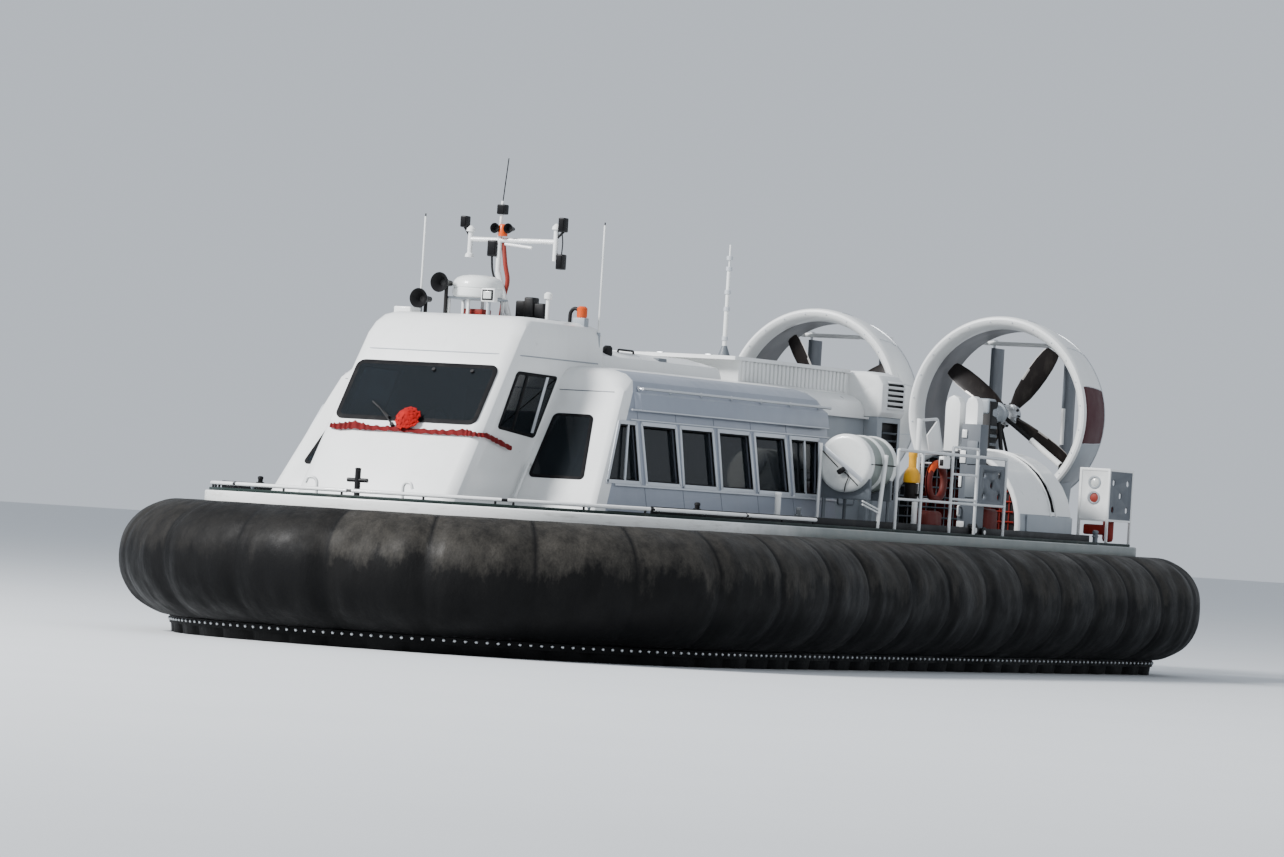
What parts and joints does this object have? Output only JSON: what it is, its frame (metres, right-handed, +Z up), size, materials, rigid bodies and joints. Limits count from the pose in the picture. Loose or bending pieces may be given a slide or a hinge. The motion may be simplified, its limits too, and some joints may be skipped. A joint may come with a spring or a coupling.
{
  "type": "passenger hovercraft",
  "caption": "Passenger hovercraft with forward pilothouse, windowed cabin, ducted propellers with rudders, deck lift fans and an inflated black skirt.",
  "frame": {"origin": "under the middle of the craft, at the level of the skirt's finger tips and the skids", "axes": "+Z up, bow towards -Y, port side towards +X"},
  "size_m": [7.36, 15.2, 5.3305],
  "materials": {
    "deck_paint": "satin",
    "white_paint": "gloss",
    "white_gelcoat": "gloss",
    "grey_paint": "satin",
    "skirt_rubber": "matt",
    "dark_glass": "gloss",
    "black_plastic": "matt",
    "black_metal": "satin",
    "blade_black": "satin",
    "bare_steel": "satin",
    "seat_fabric": "matt",
    "red_paint": "satin"
  },
  "bodies": {
    "craft": {"hull_deck": "deck_paint", "skirt_bag": "skirt_rubber", "skirt_fingers": "skirt_rubber", "landing_skid_port": "grey_paint", "landing_skid_stbd": "grey_paint", "pilothouse_shell": "white_paint", "windscreen": "dark_glass", "pilothouse_glass_port": "dark_glass", "pilothouse_glass_stbd": "dark_glass", "cabin_shell": "white_paint", "cabin_side_glass_port": "dark_glass", "cabin_side_glass_stbd": "dark_glass", "cabin_front_glass_port": "dark_glass", "cabin_front_glass_stbd": "dark_glass", "grab_rail_port": "bare_steel", "grab_rail_stbd": "bare_steel", "passenger_seats_port": "seat_fabric", "passenger_seats_stbd": "seat_fabric", "helm": "black_plastic", "engine_casing": "white_paint", "aft_casing": "grey_paint", "engines": "grey_paint", "roof_fairing": "white_paint", "drive_frame_port": "black_metal", "drive_frame_stbd": "black_metal", "duct_port": "white_paint", "duct_stbd": "white_paint", "fan_casing_port": "white_paint", "fan_casing_stbd": "white_paint", "liferaft_canister_port": "white_gelcoat", "liferaft_canister_stbd": "white_gelcoat", "raft_cradle_port": "white_paint", "raft_cradle_stbd": "white_paint", "side_rail_port": "white_paint", "side_rail_stbd": "white_paint", "locker_port": "grey_paint", "locker_stbd": "grey_paint", "aft_guard_port": "white_paint", "aft_guard_stbd": "white_paint", "toe_rail": "white_paint", "radome": "white_paint", "signal_mast": "white_paint"},
    "propeller_port": {"propeller_port": "blade_black"},
    "propeller_stbd": {"propeller_stbd": "blade_black"},
    "lift_fan_port": {"lift_fan_port": "red_paint"},
    "lift_fan_stbd": {"lift_fan_stbd": "red_paint"},
    "rudder_inboard_port": {"rudder_inboard_port": "grey_paint"},
    "rudder_outboard_port": {"rudder_outboard_port": "grey_paint"},
    "rudder_inboard_stbd": {"rudder_inboard_stbd": "grey_paint"},
    "rudder_outboard_stbd": {"rudder_outboard_stbd": "grey_paint"},
    "cabin_door_port": {"cabin_door_port": "white_paint"},
    "cabin_door_stbd": {"cabin_door_stbd": "white_paint"}
  },
  "joints": [
    {"name": "propeller_port_spin", "type": "hinge", "parent": "craft", "child": "propeller_port", "pos_m": [1.217, 6.33, 3.15], "axis": [0, 1, 0], "continuous": true},
    {"name": "propeller_stbd_spin", "type": "hinge", "parent": "craft", "child": "propeller_stbd", "pos_m": [-1.217, 6.33, 3.15], "axis": [0, 1, 0], "continuous": true},
    {"name": "lift_fan_port_spin", "type": "hinge", "parent": "craft", "child": "lift_fan_port", "pos_m": [1.8, 4.3, 1.86], "axis": [0, 1, 0], "continuous": true},
    {"name": "lift_fan_stbd_spin", "type": "hinge", "parent": "craft", "child": "lift_fan_stbd", "pos_m": [-1.8, 4.3, 1.86], "axis": [0, 1, 0], "continuous": true},
    {"name": "rudder_inboard_port_swing", "type": "hinge", "parent": "craft", "child": "rudder_inboard_port", "pos_m": [0.737, 6.86, 3.15], "axis": [0, 0, 1], "range_deg": [-30, 30]},
    {"name": "rudder_outboard_port_swing", "type": "hinge", "parent": "craft", "child": "rudder_outboard_port", "pos_m": [1.697, 6.86, 3.15], "axis": [0, 0, 1], "range_deg": [-30, 30]},
    {"name": "rudder_inboard_stbd_swing", "type": "hinge", "parent": "craft", "child": "rudder_inboard_stbd", "pos_m": [-0.737, 6.86, 3.15], "axis": [0, 0, 1], "range_deg": [-30, 30]},
    {"name": "rudder_outboard_stbd_swing", "type": "hinge", "parent": "craft", "child": "rudder_outboard_stbd", "pos_m": [-1.697, 6.86, 3.15], "axis": [0, 0, 1], "range_deg": [-30, 30]},
    {"name": "cabin_door_port_hinge", "type": "hinge", "parent": "craft", "child": "cabin_door_port", "pos_m": [1.626, 0.513, 2.32], "axis": [0, 0, 1], "range_deg": [-95, 0]},
    {"name": "cabin_door_stbd_hinge", "type": "hinge", "parent": "craft", "child": "cabin_door_stbd", "pos_m": [-1.626, 0.513, 2.32], "axis": [0, 0, 1], "range_deg": [0, 95]}
  ],
  "couplings": [
    {"joint": "rudder_outboard_port_swing", "follows": "rudder_inboard_port_swing", "ratio": 1},
    {"joint": "rudder_inboard_stbd_swing", "follows": "rudder_inboard_port_swing", "ratio": 1},
    {"joint": "rudder_outboard_stbd_swing", "follows": "rudder_inboard_port_swing", "ratio": 1}
  ]
}
